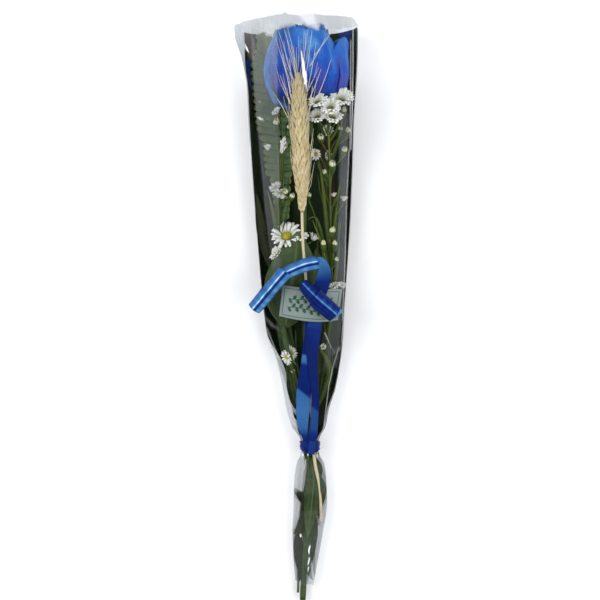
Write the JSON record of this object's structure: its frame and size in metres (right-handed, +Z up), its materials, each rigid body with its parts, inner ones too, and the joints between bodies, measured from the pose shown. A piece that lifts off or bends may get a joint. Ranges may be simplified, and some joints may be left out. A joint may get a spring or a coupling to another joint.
{
  "type": "wrapped single rose bouquet",
  "caption": "Blue rose bud with wheat, asters, fern and leaves in a clear film sleeve with a dark liner, tied by a curled satin ribbon, with a plain sticker, lying flat.",
  "frame": {"origin": "under the middle of the bouquet's length and width, on the surface it lies on", "axes": "+Y along the stems from the cut ends to the flower, +X to the right seen from above, +Z up"},
  "size_m": [0.1004, 0.4682, 0.072],
  "materials": {
    "clear_film": "thin clear glossy wrapping film with soft creases and pale glare",
    "liner_sheet": "dark green-black lining sheet, satin",
    "rose_petals": "fresh dyed petals, cornflower blue to royal blue with lilac rims, soft satin",
    "rose_green": "fresh green stem, calyx and sepals, semi-matt",
    "wheat_straw": "dry straw, cream to pale gold, matt",
    "fern_green": "fern leaflets, mid green with yellow-green tips, semi-matt",
    "aster_sprays": "white rays, yellow discs, green stems and buds, matt",
    "leaf_green": "dark grey-green leaves with pale midribs, semi-gloss",
    "satin_ribbon": "royal-blue satin with fine lengthwise ribs and bright highlights",
    "sticker": null
  },
  "bodies": {
    "root": {"sleeve": "clear_film", "liner": "liner_sheet", "rose_petals": "rose_petals", "rose_stem": "rose_green", "wheat_ear": "wheat_straw", "fern_frond": "fern_green", "asters_right": "aster_sprays", "asters_left": "aster_sprays", "asters_low": "aster_sprays", "leaf_sprig": "leaf_green", "ribbon": "satin_ribbon", "label": "sticker"}
  },
  "joints": []
}
